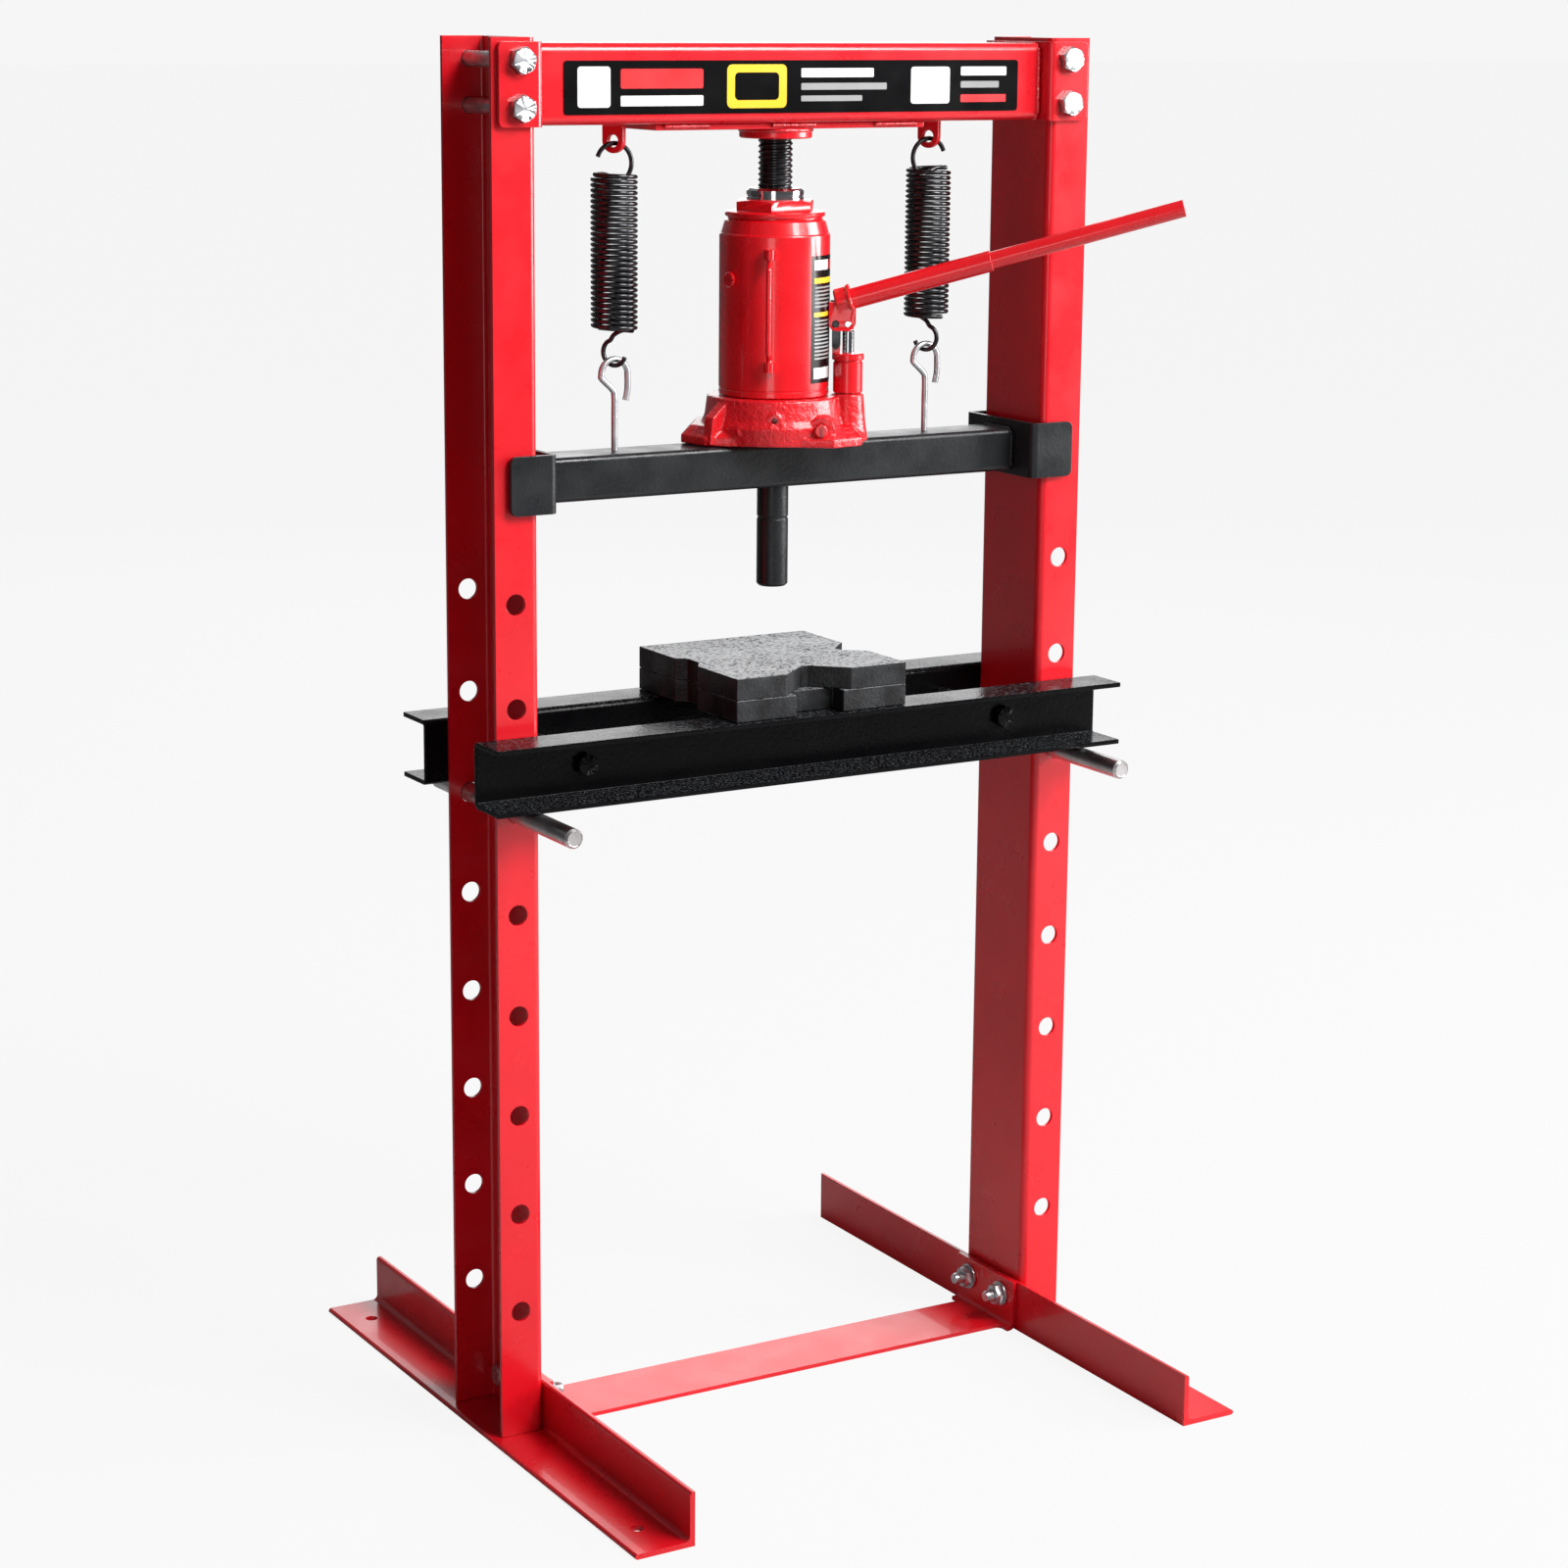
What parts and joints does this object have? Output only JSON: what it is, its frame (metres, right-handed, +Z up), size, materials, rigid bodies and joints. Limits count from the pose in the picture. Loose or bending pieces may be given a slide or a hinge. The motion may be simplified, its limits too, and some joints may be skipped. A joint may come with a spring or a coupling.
{
  "type": "hydraulic shop press",
  "caption": "Free-standing H-frame shop press: bottle jack on a spring-hung moving beam with a press pin, pinned bed of two channels, loose arbor plates, angle feet.",
  "frame": {"origin": "on the floor, at the centre of the press's footprint", "axes": "+Z up, +X to the right along the bed, -Y to the front where the sign is"},
  "size_m": [0.662, 0.652, 1.265],
  "materials": {
    "red_paint": "gloss",
    "jack_paint": "gloss",
    "black_paint": "satin",
    "zinc_steel": "zinc plated",
    "chromed_steel": "polished",
    "oiled_steel": "black oxide, oiled",
    "plate_iron": "worn black over bare metal",
    "sign_film": "printed film"
  },
  "bodies": {
    "frame": {"left_column": "red_paint", "right_column": "red_paint", "left_foot": "red_paint", "right_foot": "red_paint", "cross_brace": "red_paint", "top_beam": "red_paint", "top_bracket_left": "red_paint", "top_bracket_right": "red_paint", "top_doubler": "red_paint", "ram_cup": "red_paint", "spring_eye_left": "red_paint", "spring_eye_right": "red_paint", "sign_panel": "sign_film", "foot_bolt_left_front": "zinc_steel", "foot_bolt_left_rear": "zinc_steel", "foot_bolt_right_front": "zinc_steel", "foot_bolt_right_rear": "zinc_steel", "foot_nut_left_front": "zinc_steel", "foot_nut_left_rear": "zinc_steel", "foot_nut_right_front": "zinc_steel", "foot_nut_right_rear": "zinc_steel", "top_bolt_left_lower": "zinc_steel", "top_bolt_left_upper": "zinc_steel", "top_bolt_right_lower": "zinc_steel", "top_bolt_right_upper": "zinc_steel", "top_nut_left_lower": "zinc_steel", "top_nut_left_upper": "zinc_steel", "top_nut_right_lower": "zinc_steel", "top_nut_right_upper": "zinc_steel", "ram": "chromed_steel", "return_spring_left": "oiled_steel", "return_spring_right": "oiled_steel"},
    "moving_beam": {"moving_beam_tube": "black_paint", "guide_left": "black_paint", "guide_right": "black_paint", "mandrel": "black_paint", "spring_hook_left": "zinc_steel", "spring_hook_right": "zinc_steel", "jack_base": "jack_paint", "jack_tank": "jack_paint", "tank_nut": "jack_paint", "pump_cylinder": "jack_paint"},
    "screw_saddle": {"screw_saddle": "oiled_steel"},
    "extension_screw": {"extension_screw": "oiled_steel"},
    "pump_link": {"pump_link": "oiled_steel"},
    "handle_socket": {"handle_socket": "jack_paint"},
    "handle_lower_tube": {"handle_lower_tube": "jack_paint"},
    "handle_upper_tube": {"handle_upper_tube": "jack_paint"},
    "pump_plunger": {"pump_plunger": "chromed_steel"},
    "release_valve": {"release_valve": "jack_paint"},
    "filler_plug": {"filler_plug": "jack_paint"},
    "carry_handle": {"carry_handle": "zinc_steel"},
    "bed": {"bed_channel_front": "black_paint", "bed_channel_rear": "black_paint", "bed_spacer_left": "black_paint", "bed_spacer_right": "black_paint"},
    "arbor_plate_lower": {"arbor_plate_lower": "plate_iron"},
    "arbor_plate_upper": {"arbor_plate_upper": "plate_iron"},
    "bed_pin_left": {"bed_pin_left": "zinc_steel"},
    "bed_pin_right": {"bed_pin_right": "zinc_steel"}
  },
  "joints": [
    {"name": "press_slide", "type": "slide", "parent": "frame", "child": "moving_beam", "axis": [0, 0, -1], "range_m": [0, 0.06], "stiffness_N_per_m": 4000, "springref_m": -0.05, "deforming": ["return_spring_left", "return_spring_right"]},
    {"name": "saddle_travel", "type": "slide", "parent": "frame", "child": "screw_saddle", "axis": [0, 0, -1], "range_m": [0, 0.038]},
    {"name": "screw_turn", "type": "hinge", "parent": "screw_saddle", "child": "extension_screw", "pos_m": [0, 0, 1.13], "axis": [0, 0, -1], "range_deg": [0, 2700]},
    {"name": "link_rock", "type": "hinge", "parent": "moving_beam", "child": "pump_link", "pos_m": [0.04669, -0.03269, 0.9896], "axis": [0.5736, 0.8192, 0], "range_deg": [-0.25, 5.5]},
    {"name": "handle_pump", "type": "hinge", "parent": "pump_plunger", "child": "handle_socket", "pos_m": [0.0557, -0.039, 1.0096], "axis": [0.5736, 0.8192, 0], "range_deg": [-1.4, 37.6]},
    {"name": "plunger_stroke", "type": "slide", "parent": "moving_beam", "child": "pump_plunger", "axis": [0, 0, -1], "range_m": [-0.00025, 0.007]},
    {"name": "lower_tube_pull", "type": "slide", "parent": "handle_socket", "child": "handle_lower_tube", "axis": [0.7874, -0.5514, 0.2756], "range_m": [0, 0.1]},
    {"name": "upper_tube_pull", "type": "slide", "parent": "handle_lower_tube", "child": "handle_upper_tube", "axis": [0.7874, -0.5514, 0.2756], "range_m": [0, 0.15]},
    {"name": "valve_turn", "type": "hinge", "parent": "moving_beam", "child": "release_valve", "pos_m": [0.00777, -0.07259, 0.9173], "axis": [-0.5736, -0.8192, 0], "range_deg": [0, 360]},
    {"name": "filler_pull", "type": "slide", "parent": "moving_beam", "child": "filler_plug", "axis": [-0.9877, -0.1564, 0], "range_m": [0, 0.025]},
    {"name": "carry_swing", "type": "hinge", "parent": "moving_beam", "child": "carry_handle", "pos_m": [-0.03206, -0.04579, 1.0238], "axis": [0, 0, 1], "range_deg": [-75, 75]},
    {"name": "bed_lift", "type": "slide", "parent": "frame", "child": "bed", "axis": [0, 0, -1], "range_m": [-0.058, 0]},
    {"name": "lower_plate_slide", "type": "slide", "parent": "bed", "child": "arbor_plate_lower", "axis": [1, 0, 0], "range_m": [-0.06, 0.06]},
    {"name": "upper_plate_slide", "type": "slide", "parent": "arbor_plate_lower", "child": "arbor_plate_upper", "axis": [1, 0, 0], "range_m": [-0.06, 0.06]},
    {"name": "left_pin_pull", "type": "slide", "parent": "frame", "child": "bed_pin_left", "axis": [0, -1, 0], "range_m": [0, 0.28]},
    {"name": "right_pin_pull", "type": "slide", "parent": "frame", "child": "bed_pin_right", "axis": [0, -1, 0], "range_m": [0, 0.28]}
  ],
  "couplings": [
    {"joint": "saddle_travel", "follows": "screw_turn", "m_per_rad": 0.00079577},
    {"joint": "link_rock", "follows": "plunger_stroke", "rad_per_m": 13.55},
    {"joint": "handle_pump", "follows": "plunger_stroke", "rad_per_m": 93.46}
  ]
}
